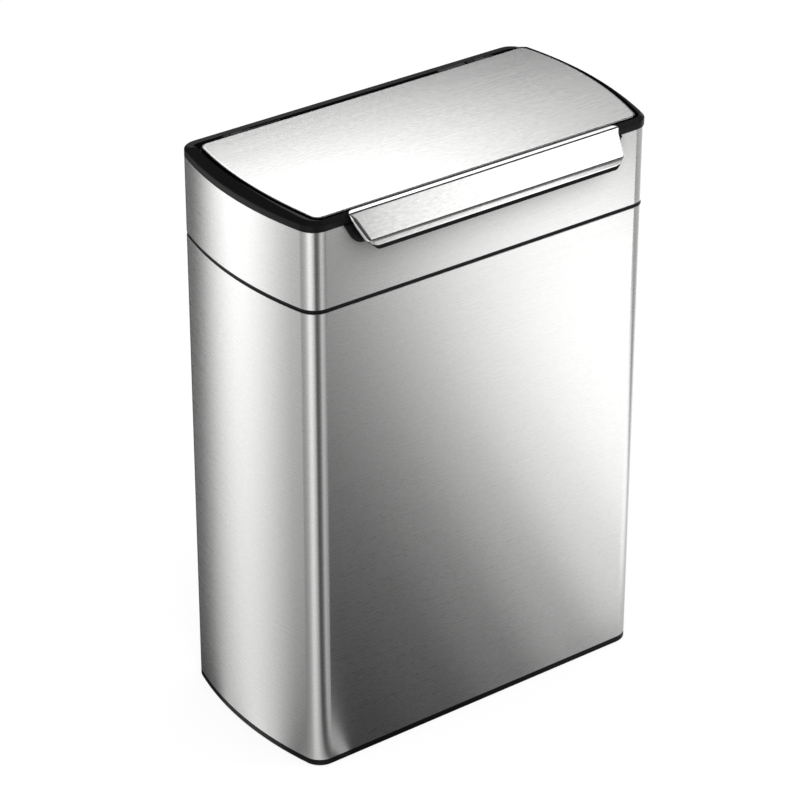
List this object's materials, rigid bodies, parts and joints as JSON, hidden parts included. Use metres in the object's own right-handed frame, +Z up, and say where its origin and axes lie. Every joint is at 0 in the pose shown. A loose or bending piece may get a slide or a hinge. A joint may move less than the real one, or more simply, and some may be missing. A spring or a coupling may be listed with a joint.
{
  "type": "recycling bin",
  "caption": "Tall oblong recycling bin with bowed ends, brushed steel body, touch bar, sprung lid in a black rim, and lift-out buckets side by side.",
  "frame": {"origin": "on the floor, under the middle of the bin's outer box, the touch bar included", "axes": "+Z up, front panel and touch bar towards -Y, +X to the right seen from the front"},
  "size_m": [0.492, 0.2788, 0.7001],
  "materials": {
    "steel_brushed": "fine brushed grain, satin",
    "plastic_black": "moulded, satin black",
    "plastic_bucket": "moulded, dark grey",
    "rubber_black": "soft matt",
    "steel_plain": "plain zinc-coated"
  },
  "bodies": {
    "cabinet": {"base_pan": "plastic_black", "floor_pads": "rubber_black", "base_screws": "steel_plain", "body_shell": "steel_brushed", "seam_ring": "plastic_black", "collar_band": "steel_brushed", "collar_frame": "plastic_black", "frame_screws": "steel_plain", "rim_bezel": "plastic_black", "bar_housing": "plastic_black", "latch_box": "plastic_black", "hinge_lugs": "plastic_black", "lid_spring": "steel_plain", "lid_damper": "plastic_black"},
    "lid": {"lid_skin": "steel_brushed", "lid_tray": "plastic_black", "lid_bumpers": "rubber_black", "lid_strike": "plastic_black", "lid_screws": "steel_plain", "hinge_pins": "steel_plain", "hinge_arms": "steel_plain"},
    "touch_bar": {"bar_skin": "steel_brushed", "bar_carrier": "plastic_black", "bar_pins": "steel_plain", "bar_tongue": "plastic_black"},
    "latch": {"latch_slider": "plastic_black"},
    "bucket_left": {"bucket_left_tub": "plastic_bucket"},
    "bucket_right": {"bucket_right_tub": "plastic_bucket"}
  },
  "joints": [
    {"name": "lid_hinge", "type": "hinge", "parent": "cabinet", "child": "lid", "pos_m": [0, 0.1182, 0.6905], "axis": [-1, 0, 0], "range_deg": [0, 80]},
    {"name": "bar_press", "type": "hinge", "parent": "cabinet", "child": "touch_bar", "pos_m": [0, -0.1204, 0.6785], "axis": [1, 0, 0], "range_deg": [0, 10], "stiffness_Nm_per_rad": 1, "springref_deg": -6.88},
    {"name": "latch_slide", "type": "slide", "parent": "cabinet", "child": "latch", "axis": [0, 1, 0], "range_m": [0, 0.0022]},
    {"name": "bucket_left_lift", "type": "slide", "parent": "cabinet", "child": "bucket_left", "axis": [0, 0, 1], "range_m": [0, 0.025]},
    {"name": "bucket_right_lift", "type": "slide", "parent": "cabinet", "child": "bucket_right", "axis": [0, 0, 1], "range_m": [0, 0.025]}
  ],
  "couplings": [
    {"joint": "latch_slide", "follows": "bar_press", "m_per_rad": 0.0125}
  ]
}
